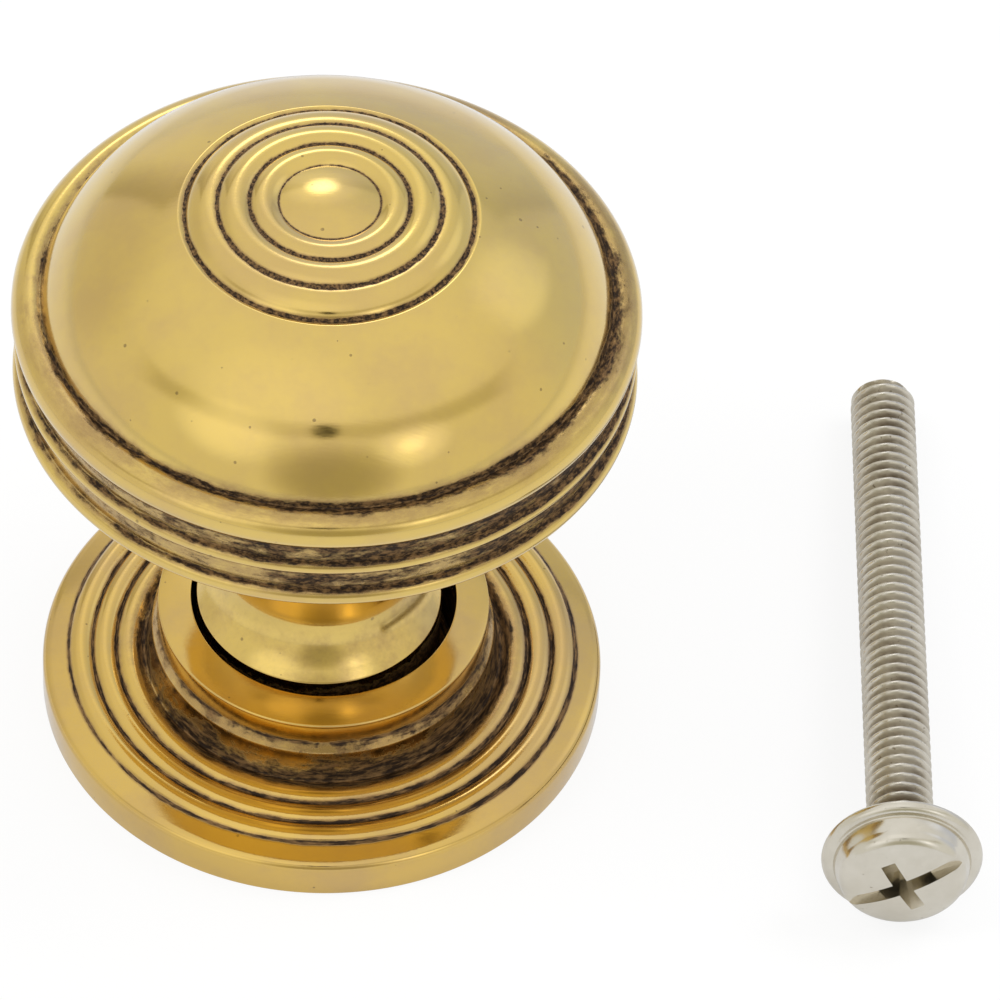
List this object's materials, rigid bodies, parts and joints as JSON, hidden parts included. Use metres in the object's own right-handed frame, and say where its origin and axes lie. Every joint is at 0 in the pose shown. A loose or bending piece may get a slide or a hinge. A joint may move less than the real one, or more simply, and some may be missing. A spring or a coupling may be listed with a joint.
{
  "type": "cabinet knob",
  "caption": "Turned brass cabinet knob with a ringed domed head, on a reeded rose with a raised collar, and its slotted fixing screw lying beside it",
  "frame": {"origin": "centre of the rose's screw hole, in the plane of the rose's back face, which meets the cabinet front", "axes": "+Z points out of the cabinet front, along the knob's axis; the fixing screw lies on the +X side with its head towards -Y and its tip towards +Y"},
  "size_m": [0.0603, 0.0436, 0.0437],
  "materials": {
    "aged_brass_knob": "polished and aged brass with dark patina in the grooves",
    "aged_brass_rose": "polished and aged brass with dark patina in the grooves",
    "nickel_plated_steel": "bright nickel plate"
  },
  "bodies": {
    "root": {"knob": "aged_brass_knob", "rose": "aged_brass_rose", "fixing_screw": "nickel_plated_steel"}
  },
  "joints": []
}
